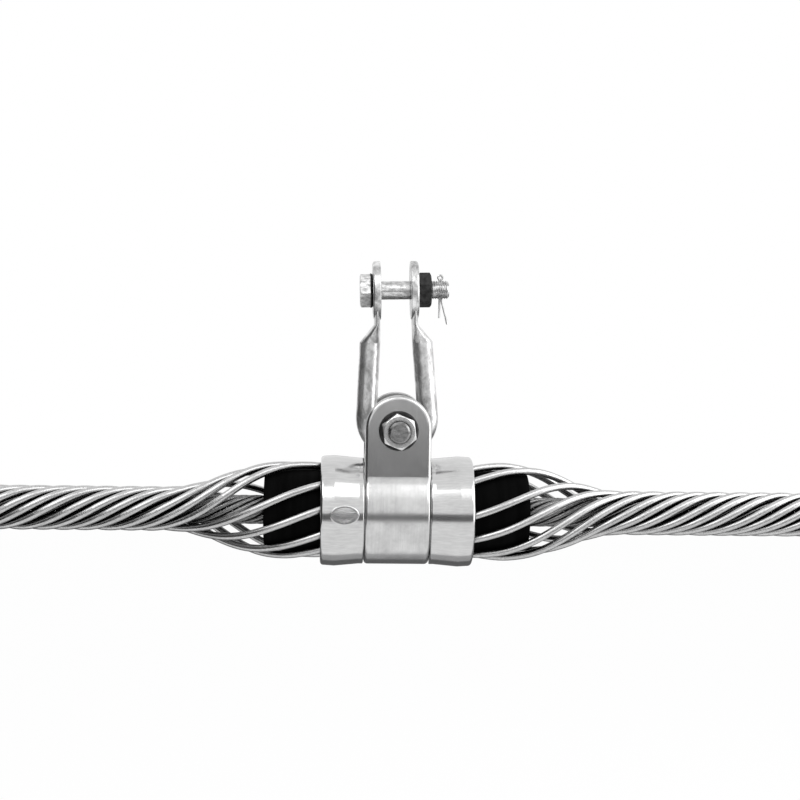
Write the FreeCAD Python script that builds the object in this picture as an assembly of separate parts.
import FreeCAD, Part
import math
import os

# Preformed suspension clamp for an overhead cable, hanging from an extended shackle.
# Millimetres. X runs along the cable way, Z is up, the front is -Y.
# The origin is the centre of the cable way, midway between the ends of the rods.

# Cable way and inner layer of rods
cable_way_dia = 17.0
inner_rod_dia = 4.3
inner_rod_half_length = 395.0
inner_lay_length = 138.0

# Outer layer of rods: close round the inner layer at the ends, spread to a cage in the middle
outer_rod_dia = 6.5
outer_rod_half_length = 375.0
outer_rod_start_angle = 8.4
rod_end_chamfer = 0.6

# The outer rods are laid by hand: in the bundles they close up in sets, and in the cage
# each strays from even spacing by so many degrees on its left and on its right
rod_sets = [3, 3, 4]
set_closing = 1.9
cage_strays = [
    (-1.5, 7.5), (-3.5, 1.0), (-6.5, 0.0), (11.5, 0.0), (4.0, 0.0),
    (0.0, 0.0), (0.0, 0.0), (0.0, -1.5), (6.0, -1.5), (6.5, -5.0),
]

# Lay of the outer rods: way round for each unit of way along
waist_lay = 0.25
mouth_lay = 0.34
insert_end_lay = 0.48
neck_lay = 0.57
bundle_lay = 0.535

# Clearances of the layers
layer_gap = 0.2
inner_neighbour_gap = 0.26
outer_neighbour_gap = 2.0
insert_gap = 0.4
housing_gap = 0.4
split_gap = 1.2
insert_split_gap = 0.3

# Rubber insert: its wall at the stations along the cable way
insert_half_length = 115.0
insert_edge_radius = 1.5
waist_wall = 12.35
groove_wall = 13.55
mouth_wall = 22.05
belly_wall = 23.3
insert_end_wall = 20.95
belly_x = 92.0
neck_x = 172.0
bundle_x = 197.0

# Cast housing
housing_half_length = 66.2
groove_radius = 38.4
shoulder_radius = 46.4
crest_radius = 48.4
mouth_radius = 47.6
shoulder_land = 4.0
crest_x = 54.0
outer_lip_radius = 3.0
inner_lip_radius = 1.5
shoulder_edge_radius = 1.2

# Strap that carries the housing
strap_width = 56.5
strap_thickness = 7.8
strap_seat_gap = 0.2
strap_side_gap = 0.5
strap_edge_radius = 3.4
strap_inner_edge_radius = 1.0
ear_inner_gap = 57.4
ear_bend_radius = 16.0
strap_bolt_z = 73.2
ear_rise = 1.8

# Bolts, nuts and washers: what both bolts share, then each one's own
hex_across_flats = 27.0
hex_chamfer_angle = 25.0
head_height = 9.0
nut_bore_gap = 0.05
bolt_end_chamfer = 1.6
washer_bevel = 1.2
running_gap = 0.09
seat_gap = 0.3

strap_bolt_dia = 18.0
strap_bolt_overhang = 5.0
strap_nut_height = 14.6
strap_nut_turn = 38.0
strap_washer_dia = 34.0
strap_washer_thickness = 3.0

shackle_bolt_dia = 16.0
shackle_bolt_overhang = 15.4
shackle_nut_height = 11.2
shackle_head_turn = 20.0
shackle_nut_turn = 14.0
shackle_washer_dia = 30.0
shackle_washer_thickness = 2.2

# Shackle
shackle_bar_dia = 18.0
bow_inner_radius = 18.0
arm_toe_in = 3.6
arm_top_z = 148.0
eye_z = 193.6
eye_radius = 25.5
eye_gap = 26.2
eye_thickness = 6.8
eye_hole_gap = 0.5
eye_outer_edge_radius = 2.4
eye_inner_edge_radius = 0.8
blade_foot_z = 164.0
blade_width = 36.0
blade_thickness = 5.4
shackle_lean = 1.5

# Split pin in the shackle bolt
pin_hole_dia = 4.4
pin_wire_dia = 1.8
pin_eye_radius = 1.9
pin_eye_seat = 1.1
pin_past_nut = 8.2
pin_knee_below = 1.5
pin_bend_radius = 6.0
pin_short_leg = 15.0
pin_short_spread = 2.0
pin_long_leg = 20.0
pin_long_spread = 13.0

# How finely a rod's path is cut into arcs, how far a cutting shape runs past what it cuts,
# and how near an edge lies to where it is looked for
arc_step = 25.0
overcut = 1.0
near = 0.01

V = FreeCAD.Vector
X = V(1, 0, 0)
Y = V(0, 1, 0)
Z = V(0, 0, 1)
ORIGIN = V(0, 0, 0)

outer_rod_radius = outer_rod_dia / 2
inner_rod_radius = inner_rod_dia / 2
strap_bolt_radius = strap_bolt_dia / 2
shackle_bolt_radius = shackle_bolt_dia / 2
inner_pitch_radius = cable_way_dia / 2 + inner_rod_radius
inner_layer_radius = inner_pitch_radius + inner_rod_radius
bore_radius = inner_layer_radius + layer_gap
bundle_pitch_radius = bore_radius + outer_rod_radius
groove_half_width = strap_width / 2 + strap_side_gap


def smooth_curve(xs, ys):
    """Stations and slopes of a curve that is level at both ends and never overshoots."""
    steps = [b - a for a, b in zip(xs, xs[1:])]
    grades = [(b - a) / h for a, b, h in zip(ys, ys[1:], steps)]
    slopes = [0.0]
    for h0, h1, g0, g1 in zip(steps, steps[1:], grades, grades[1:]):
        w0, w1 = 2 * h1 + h0, h1 + 2 * h0
        slopes.append((w0 + w1) / (w0 / g0 + w1 / g1) if g0 * g1 > 0 else 0.0)
    return list(zip(xs, ys, slopes + [0.0]))


def curve_at(curve, x):
    """Height and slope of a smooth curve, which is the same on both sides of x = 0."""
    side, x = math.copysign(1.0, x), abs(x)
    if x >= curve[-1][0]:
        return curve[-1][1], 0.0
    for (x0, y0, m0), (x1, y1, m1) in zip(curve, curve[1:]):
        if x <= x1:
            h = x1 - x0
            t = (x - x0) / h
            a = y1 - y0
            b = h * (m0 + m1) - 2 * a
            c = 3 * a - h * (2 * m0 + m1)
            return y0 + t * (h * m0 + t * (c + t * b)), side * (m0 + t * (2 * c + 3 * t * b) / h)


def curve_edges(curve, offset, pieces):
    """The first pieces of a smooth curve, offset, on both sides of x = 0."""
    edges = []
    for (x0, y0, m0), (x1, y1, m1) in list(zip(curve, curve[1:]))[:pieces]:
        third = (x1 - x0) / 3
        poles = [(x0, y0), (x0 + third, y0 + m0 * third), (x1 - third, y1 - m1 * third), (x1, y1)]
        for side in (1, -1):
            bezier = Part.BezierCurve()
            bezier.setPoles([V(side * x, 0, y + offset) for x, y in poles])
            edges.append(bezier.toShape())
    return edges


# The outer rods' distance from the axis, and their lay, at the stations
rod_over_bore = bore_radius + insert_gap + outer_rod_radius
rod_profile = smooth_curve(
    [0.0, groove_half_width, housing_half_length, belly_x, insert_half_length, bundle_x],
    [rod_over_bore + wall for wall in (waist_wall, groove_wall, mouth_wall, belly_wall, insert_end_wall)]
    + [bundle_pitch_radius],
)
rod_lay = smooth_curve(
    [0.0, housing_half_length, insert_half_length, neck_x, bundle_x],
    [waist_lay, mouth_lay, insert_end_lay, neck_lay, bundle_lay],
)
insert_offset = -outer_rod_radius - insert_gap
housing_offset = outer_rod_radius + housing_gap


def lines(points):
    return [Part.LineSegment(a, b).toShape() for a, b in zip(points, points[1:])]


def closed_face(edges):
    return Part.Face(Part.Wire(Part.sortEdges(edges)[0]))


def turned(edges):
    """A solid turned about the cable way from an outline in the X-Z plane."""
    return closed_face(edges).revolve(ORIGIN, X, 360)


def rod_count(rod_dia, gap, pitch_radius, lay):
    """As many rods as lie side by side, this gap apart, round the pitch circle at this lay."""
    across = (rod_dia + gap) * math.sqrt(1 + lay * lay)
    return int(math.pi / math.asin(across / (2 * pitch_radius)))


def arc_from(start, direction, end):
    """The arc that leaves start along direction and passes through end."""
    chord = end - start
    normal = direction.cross(chord)
    if normal.Length < 1e-9 * chord.Length:
        return Part.LineSegment(start, end).toShape()
    side = normal.cross(direction).normalize()
    centre = start + side * (chord.dot(chord) / (2 * chord.dot(side)))
    outward = (start + chord * 0.5 - centre).normalize()
    return Part.Arc(start, centre + outward * start.distanceToPoint(centre), end).toShape()


def two_arcs(start, start_way, end, end_way):
    """Two arcs that share a tangent where they meet, from start to end."""
    chord = end - start
    ways = start_way + end_way
    a = 2 * (1 - start_way.dot(end_way))
    b = 2 * chord.dot(ways)
    c = chord.dot(chord)
    reach = c / b if a < 1e-9 else (math.sqrt(b * b + 4 * a * c) - b) / (2 * a)
    middle = (start + start_way * reach + end - end_way * reach) * 0.5
    first = arc_from(start, start_way, middle)
    return [first, arc_from(middle, first.tangentAt(first.LastParameter), end)]


def laid_rod(place, half_length, rod_dia):
    """A round rod along arcs through the places that place(x) gives, its tips straight and chamfered."""
    tip = 2 * rod_end_chamfer
    laid_half = half_length - tip
    count = 2 * math.ceil(laid_half / arc_step)
    stations = [place(laid_half * (2 * i / count - 1)) for i in range(count + 1)]
    (start, start_way), (end, end_way) = stations[0], stations[-1]
    foot = start - start_way * tip
    path = lines([foot, start])
    for (here, way), (there, way_there) in zip(stations, stations[1:]):
        path += two_arcs(here, way, there, way_there)
    path += lines([end, end + end_way * tip])
    section = Part.Face(Part.Wire(Part.Circle(foot, start_way, rod_dia / 2).toShape()))
    rod = Part.Wire(path).makePipe(section)
    ends = [face.Edges[0] for face in rod.Faces if isinstance(face.Surface, Part.Plane)]
    return rod.makeChamfer(rod_end_chamfer, ends)


def helix_place(x, radius, slope, angle, turn_rate):
    """Point and direction of a rod at x; its angle about the axis is 0 at the front and grows upwards."""
    s, c = math.sin(angle), math.cos(angle)
    way = V(1, -slope * c + radius * turn_rate * s, slope * s + radius * turn_rate * c)
    return V(x, -radius * c, radius * s), way.normalize()


def inner_place(x):
    turn_rate = 2 * math.pi / inner_lay_length
    return helix_place(x, inner_pitch_radius, 0.0, turn_rate * x, turn_rate)


def outer_turn(x):
    """Angle that an outer rod has gone round the axis from the waist to x."""
    steps = 60
    h = x / steps
    rates = [curve_at(rod_lay, h * i)[0] / curve_at(rod_profile, h * i)[0] for i in range(steps + 1)]
    return h / 3 * (rates[0] + rates[-1] + 4 * sum(rates[1:-1:2]) + 2 * sum(rates[2:-1:2]))


def stray_at(in_bundles, left, right, x):
    """How far a rod strays from even spacing at x, in radians, and the slope of that."""
    stations = [(-bundle_x, in_bundles), (-belly_x, left), (belly_x, right), (bundle_x, in_bundles)]
    for (x0, a), (x1, b) in zip(stations, stations[1:]):
        if x0 < x < x1:
            t = (x - x0) / (x1 - x0)
            value = a + (b - a) * t * t * (3 - 2 * t)
            return math.radians(value), math.radians((b - a) * 6 * t * (1 - t) / (x1 - x0))
    return math.radians(in_bundles), 0.0


def outer_rods():
    """The outer rods, each on its own hand-laid way."""
    count = rod_count(outer_rod_dia, outer_neighbour_gap, bundle_pitch_radius, bundle_lay)
    closings = [set_closing * ((size - 1) / 2 - i) for size in rod_sets for i in range(size)]
    parts = {}
    for i in range(count):
        even = math.radians(outer_rod_start_angle + 360 * i / count)
        left, right = cage_strays[i % len(cage_strays)]
        in_bundles = closings[i % len(closings)]

        def place(x):
            radius, slope = curve_at(rod_profile, x)
            stray, stray_rate = stray_at(in_bundles, left, right, x)
            turn_rate = curve_at(rod_lay, x)[0] / radius + stray_rate
            return helix_place(x, radius, slope, even + outer_turn(x) + stray, turn_rate)

        parts[f"outer_rod_{i + 1:02d}"] = laid_rod(place, outer_rod_half_length, outer_rod_dia)
    return parts


def inner_rods():
    """Every inner rod is the same rod, turned on about the cable way."""
    lay = 2 * math.pi * inner_pitch_radius / inner_lay_length
    count = rod_count(inner_rod_dia, inner_neighbour_gap, inner_pitch_radius, lay)
    first = laid_rod(inner_place, inner_rod_half_length, inner_rod_dia)
    parts = {}
    for i in range(count):
        rod = first.copy()
        rod.rotate(ORIGIN, X, -360 * i / count)
        parts[f"inner_rod_{i + 1:02d}"] = rod
    return parts


def halves(ring, gap):
    """The front and rear halves of a ring round the cable way, parted by a gap."""
    box = ring.BoundBox
    corner = V(box.XMin, gap / 2, box.ZMin)
    rear = ring.common(Part.makeBox(box.XLength, box.YLength, box.ZLength, corner))
    front = ring.common(Part.makeBox(box.XLength, box.YLength, box.ZLength, corner - Y * (box.YLength + gap)))
    return front, rear


def rims(shape, test):
    """Round edges of a shape about the X axis, picked by their x and radius."""
    found = []
    for edge in shape.Edges:
        curve = edge.Curve
        if isinstance(curve, Part.Circle) and abs(curve.Axis.x) > 0.99:
            if test(abs(curve.Center.x), curve.Radius):
                found.append(edge)
    return found


def insert_halves():
    """Rubber insert that fills the cage, bored for the inner rods, in two halves."""
    end = insert_half_length
    top = curve_at(rod_profile, end)[0] + insert_offset
    outline = curve_edges(rod_profile, insert_offset, 4)
    outline += lines([V(end, 0, top), V(end, 0, bore_radius), V(-end, 0, bore_radius), V(-end, 0, top)])
    ring = turned(outline)
    at_end = rims(ring, lambda x, r: abs(x - end) < near and r > top - near)
    ring = ring.makeFillet(insert_edge_radius, at_end)
    return halves(ring, insert_split_gap)


def housing_halves():
    """Cast housing: trumpet mouths, a groove for the strap, a bore that follows the rods."""
    end, groove = housing_half_length, groove_half_width
    mouth = curve_at(rod_profile, end)[0] + housing_offset
    outline = curve_edges(rod_profile, housing_offset, 2)
    for side in (1, -1):
        outline += lines([
            V(side * end, 0, mouth),
            V(side * end, 0, mouth_radius),
            V(side * crest_x, 0, crest_radius),
            V(side * (groove + shoulder_land), 0, shoulder_radius),
            V(side * groove, 0, shoulder_radius),
            V(side * groove, 0, groove_radius),
        ])
    outline += lines([V(groove, 0, groove_radius), V(-groove, 0, groove_radius)])
    ring = turned(outline)
    at_end = rims(ring, lambda x, r: abs(x - end) < near and r > mouth_radius - near)
    ring = ring.makeFillet(outer_lip_radius, at_end)
    at_bore = rims(ring, lambda x, r: abs(x - end) < near and r < mouth + near)
    ring = ring.makeFillet(inner_lip_radius, at_bore)
    at_groove = rims(ring, lambda x, r: abs(x - groove) < near and abs(r - shoulder_radius) < near)
    ring = ring.makeFillet(shoulder_edge_radius, at_groove)
    return halves(ring, split_gap)


def strap():
    """U strap: hugs the groove from below, then turns up into two parallel ears."""
    inner = groove_radius + strap_seat_gap
    outer = inner + strap_thickness
    ear_outer = ear_inner_gap / 2 + strap_thickness
    hug = math.acos((ear_outer + ear_bend_radius) / (outer + ear_bend_radius))
    bend_z = (outer + ear_bend_radius) * math.sin(hug)
    ear_round_z = strap_bolt_z + ear_rise
    top = ear_round_z + strap_width / 2
    reach = outer + overcut

    def at(radius, angle):
        return V(0, radius * math.cos(angle), radius * math.sin(angle))

    def bend(radius, side):
        """Arc of the reverse bend, from the ring to the ear."""
        points = []
        for share in (1.0, 0.5, 0.0):
            angle = math.pi + hug * share
            points.append(V(0, side * (ear_outer + ear_bend_radius + radius * math.cos(angle)),
                            bend_z + radius * math.sin(angle)))
        return Part.Arc(*points).toShape()

    outline = []
    for radius, bend_radius, ear_y in (
        (outer, ear_bend_radius, ear_outer),
        (inner, ear_bend_radius + strap_thickness, ear_inner_gap / 2),
    ):
        around = [at(radius, angle) for angle in (hug, -math.pi / 2, math.pi - hug)]
        outline.append(Part.Arc(*around).toShape())
        for side in (1, -1):
            outline.append(bend(bend_radius, side))
            outline += lines([V(0, side * ear_y, bend_z), V(0, side * ear_y, top)])
    for side in (1, -1):
        outline += lines([V(0, side * ear_outer, top), V(0, side * ear_inner_gap / 2, top)])
    band = closed_face(outline)
    band.translate(X * (-strap_width / 2))
    body = band.extrude(X * strap_width)

    # the ears end in a full round
    half = strap_width / 2
    left, right = V(-half, 0, ear_round_z), V(half, 0, ear_round_z)
    rounded = Part.Arc(left, V(0, 0, top), right).toShape()
    view = closed_face([rounded, *lines([right, V(half, 0, -reach), V(-half, 0, -reach), left])])
    view.translate(Y * -reach)
    body = body.common(view.extrude(Y * (2 * reach)))

    def skin_edges(radius, bend_radius, ear_y):
        """The long edges on the ring, bends and ears of one skin of the band."""
        found = []
        for edge in body.Edges:
            on_skin = True
            for share in (0.25, 0.5, 0.75):
                first, last = edge.FirstParameter, edge.LastParameter
                p = edge.valueAt(first + (last - first) * share)
                bend_reach = math.hypot(abs(p.y) - ear_outer - ear_bend_radius, p.z - bend_z)
                on_ring = abs(math.hypot(p.y, p.z) - radius) < near and p.z < bend_z
                on_bend = abs(bend_reach - bend_radius) < near and p.z <= bend_z
                on_ear = abs(abs(p.y) - ear_y) < near and p.z >= bend_z - near
                at_side = abs(abs(p.x) - half) < near or p.z > ear_round_z - near
                on_skin = on_skin and at_side and (on_ring or on_bend or on_ear)
            if on_skin:
                found.append(edge)
        return found

    body = body.makeFillet(strap_edge_radius, skin_edges(outer, ear_bend_radius, ear_outer))
    inner_edges = skin_edges(inner, ear_bend_radius + strap_thickness, ear_inner_gap / 2)
    body = body.makeFillet(strap_inner_edge_radius, inner_edges)
    hole = Part.makeCylinder(strap_bolt_radius + running_gap, 2 * reach, V(0, -reach, strap_bolt_z), Y)
    return body.cut(hole).removeSplitter()


def hexagon(height, turn, both_ends):
    """A hexagon along +Z, its corners chamfered at the top or at both ends."""
    corner = hex_across_flats / math.sqrt(3)
    points = [V(corner * math.cos(a), corner * math.sin(a), 0) for a in
              (math.radians(turn + 60 * i) for i in range(7))]
    prism = Part.Face(Part.Wire(lines(points))).extrude(Z * height)
    drop = (corner - hex_across_flats / 2) * math.tan(math.radians(hex_chamfer_angle)) * 1.4
    ring = hex_across_flats / 2 - 0.4
    rim = corner + overcut
    rim_drop = drop * (rim - ring) / (corner - ring)
    outline = [V(0, 0, 0), V(ring, 0, 0), V(rim, 0, rim_drop), V(rim, 0, height - rim_drop),
               V(ring, 0, height), V(0, 0, height), V(0, 0, 0)]
    if not both_ends:
        outline[1:3] = [V(rim, 0, 0)]
    return prism.common(Part.Face(Part.Wire(lines(outline))).revolve(ORIGIN, Z, 360))


def nut(height, bolt_radius, turn):
    """A hexagon nut along +Z for a bolt of this radius."""
    return hexagon(height, turn, True).cut(Part.makeCylinder(bolt_radius + nut_bore_gap, height))


def bolt(radius, length, head_turn):
    """A hexagon bolt along +Z whose head lies under z = 0."""
    head = hexagon(head_height, head_turn, False)
    head.rotate(ORIGIN, X, 180)
    tip = length - bolt_end_chamfer
    end = Part.makeCone(radius, radius - bolt_end_chamfer, bolt_end_chamfer, V(0, 0, tip))
    return head.fuse([Part.makeCylinder(radius, tip), end]).removeSplitter()


def washer(outer, bolt_radius, face):
    """A washer along +Z, its outer radius and thickness given, its outer face bevelled."""
    inner = bolt_radius + nut_bore_gap
    outline = [V(inner, 0, 0), V(outer, 0, 0), V(outer, 0, face - washer_bevel),
               V(outer - washer_bevel, 0, face), V(inner, 0, face), V(inner, 0, 0)]
    return Part.Face(Part.Wire(lines(outline))).revolve(ORIGIN, Z, 360)


def placed(shape, direction, base, spin=0.0):
    """A piece made along +Z, put on base with its axis along direction."""
    piece = shape.copy()
    turn = FreeCAD.Rotation(Z, direction).multiply(FreeCAD.Rotation(Z, spin))
    piece.Placement = FreeCAD.Placement(base, turn).multiply(piece.Placement)
    return piece


def strap_fasteners():
    """The bolt comes from the rear through both ears; washer and nut close it at the front."""
    ear_face = ear_inner_gap / 2 + strap_thickness + seat_gap
    length = 2 * ear_face + strap_washer_thickness + strap_nut_height + strap_bolt_overhang
    shank = bolt(strap_bolt_radius, length, strap_nut_turn)
    ring = washer(strap_washer_dia / 2, strap_bolt_radius, strap_washer_thickness)
    closing_nut = nut(strap_nut_height, strap_bolt_radius, strap_nut_turn)
    axis = V(0, 0, strap_bolt_z)
    front = -Y
    return {
        "strap_bolt": placed(shank, front, axis + Y * ear_face),
        "strap_washer": placed(ring, front, axis - Y * ear_face),
        "strap_nut": placed(closing_nut, front, axis - Y * (ear_face + strap_washer_thickness)),
    }


def shackle():
    """Extended shackle: a bow of round bar whose arms toe in and are forged flat into blades and eyes."""
    bar = shackle_bar_dia / 2
    bow = bow_inner_radius + bar
    centre = V(0, 0, strap_bolt_z - strap_bolt_radius - seat_gap + bow_inner_radius)
    toe = math.radians(arm_toe_in)

    def arm_place(side, z):
        """Centre of the bar on one arm at height z."""
        start = centre + V(side * bow * math.cos(toe), 0, bow * math.sin(toe))
        return start + V(-side * math.tan(toe), 0, 1) * (z - start.z)

    low = [arm_place(side, centre.z + bow * math.sin(toe)) for side in (-1, 1)]
    top = [arm_place(side, arm_top_z) for side in (-1, 1)]
    path = Part.Wire([
        Part.LineSegment(top[0], low[0]).toShape(),
        Part.Arc(low[0], centre - Z * bow, low[1]).toShape(),
        Part.LineSegment(low[1], top[1]).toShape(),
    ])
    round_ends = [
        ellipse_wire(arm_end, V(-side * math.sin(toe), 0, math.cos(toe)), bar, bar)
        for side, arm_end in zip((-1, 1), top)
    ]
    pieces = [path.makePipe(Part.Face(round_ends[0]))]
    for side, round_end in zip((-1, 1), round_ends):
        eye_middle = side * (eye_gap + eye_thickness) / 2
        flat_end = ellipse_wire(V(eye_middle, 0, blade_foot_z), Z, blade_width / 2, blade_thickness / 2)
        pieces.append(Part.makeLoft([round_end, flat_end], True))
        pieces.append(Part.Face(flat_end).extrude(Z * (eye_z - blade_foot_z)))
        inner_face = V(side * eye_gap / 2, 0, eye_z)
        eye = Part.makeCylinder(eye_radius, eye_thickness, inner_face, X * side)
        outer_x = eye_gap / 2 + eye_thickness
        eye = eye.makeFillet(eye_outer_edge_radius, rims(eye, lambda x, r: abs(x - outer_x) < near))
        eye = eye.makeFillet(eye_inner_edge_radius, rims(eye, lambda x, r: abs(x - eye_gap / 2) < near))
        pieces.append(eye)
    body = pieces[0].fuse(pieces[1:])
    reach = eye_gap + 2 * (eye_thickness + overcut)
    hole = Part.makeCylinder(shackle_bolt_radius + eye_hole_gap, reach, V(-reach / 2, 0, eye_z), X)
    return body.cut(hole)


def ellipse_wire(centre, axis, half_width, half_thickness):
    """Ellipse across an axis near Z, wide along Y."""
    curve = Part.Ellipse(centre, half_width, half_thickness)
    curve.Axis = axis
    curve.XAxis = Y
    return Part.Wire(curve.toShape())


def split_pin(base):
    """Split pin hanging by its eye on top of the bolt at base, its two legs spread below."""
    half = pin_wire_dia / 2
    apart = half + 0.05
    hip_z = shackle_bolt_radius + pin_eye_seat
    knee_z = -shackle_bolt_radius - pin_knee_below
    pieces = []
    legs = ((-1, pin_short_leg, pin_short_spread), (1, pin_long_leg, pin_long_spread))
    for side, length, spread in legs:
        hip = V(side * apart, 0, hip_z)
        knee = V(side * apart, 0, knee_z)
        angle = math.radians(spread)
        centre = knee + X * side * pin_bend_radius
        middle, end = [
            centre - V(side * math.cos(turn), 0, math.sin(turn)) * pin_bend_radius
            for turn in (angle / 2, angle)
        ]
        tip = end + V(side * math.sin(angle), 0, -math.cos(angle)) * length
        path = Part.Wire([
            Part.LineSegment(hip, knee).toShape(),
            Part.Arc(knee, middle, end).toShape(),
            Part.LineSegment(end, tip).toShape(),
        ])
        pieces.append(path.makePipe(Part.Face(Part.Wire(Part.Circle(hip, Z, half).toShape()))))
        pieces.append(Part.makeSphere(half, hip))
    eye_centre = V(0, 0, hip_z + math.sqrt(pin_eye_radius ** 2 - apart ** 2))
    eye = Part.Arc(V(-apart, 0, hip_z), eye_centre + Z * pin_eye_radius, V(apart, 0, hip_z)).toShape()
    section = Part.Circle(V(-apart, 0, hip_z), eye.tangentAt(eye.FirstParameter), half).toShape()
    pieces.append(Part.Wire(eye).makePipe(Part.Face(Part.Wire(section))))
    pin = pieces[0].fuse(pieces[1:])
    pin.translate(base)
    return pin


def shackle_fasteners():
    """The bolt comes from the left through both eyes; nut and split pin close it at the right."""
    nut_x = eye_gap / 2 + eye_thickness
    head_x = -nut_x - shackle_washer_thickness
    nut_face_x = nut_x + shackle_nut_height
    pin_x = nut_face_x + pin_past_nut
    axis = V(0, 0, eye_z)
    length = nut_face_x + shackle_bolt_overhang - head_x
    shank = placed(bolt(shackle_bolt_radius, length, shackle_head_turn), X, axis + X * head_x)
    reach = shackle_bolt_radius + overcut
    hole = Part.makeCylinder(pin_hole_dia / 2, 2 * reach, V(pin_x, 0, eye_z - reach), Z)
    ring = washer(shackle_washer_dia / 2, shackle_bolt_radius, shackle_washer_thickness)
    closing_nut = nut(shackle_nut_height, shackle_bolt_radius, shackle_nut_turn)
    return {
        "shackle_bolt": shank.cut(hole),
        "shackle_washer": placed(ring, X, axis + X * head_x),
        "shackle_nut": placed(closing_nut, X, axis + X * nut_x),
        "cotter_pin": split_pin(axis + X * pin_x),
    }


def main():
    parts = {"shackle": shackle(), **shackle_fasteners()}
    for shape in parts.values():
        shape.rotate(V(0, 0, strap_bolt_z), Y, -shackle_lean)
    parts.update(strap_fasteners())
    parts["strap"] = strap()
    parts["housing_front"], parts["housing_rear"] = housing_halves()
    parts["insert_front"], parts["insert_rear"] = insert_halves()
    parts.update(inner_rods())
    parts.update(outer_rods())

    os.makedirs("parts", exist_ok=True)
    for name, shape in parts.items():
        shape.exportStep(f"parts/{name}.step")
        box = shape.BoundBox
        print(f"{name}: {len(shape.Solids)} solid, {shape.Volume:.0f} mm3, valid {shape.isValid()}, "
              f"x {box.XMin:.1f} to {box.XMax:.1f}, y {box.YMin:.1f} to {box.YMax:.1f}, "
              f"z {box.ZMin:.1f} to {box.ZMax:.1f}")


main()
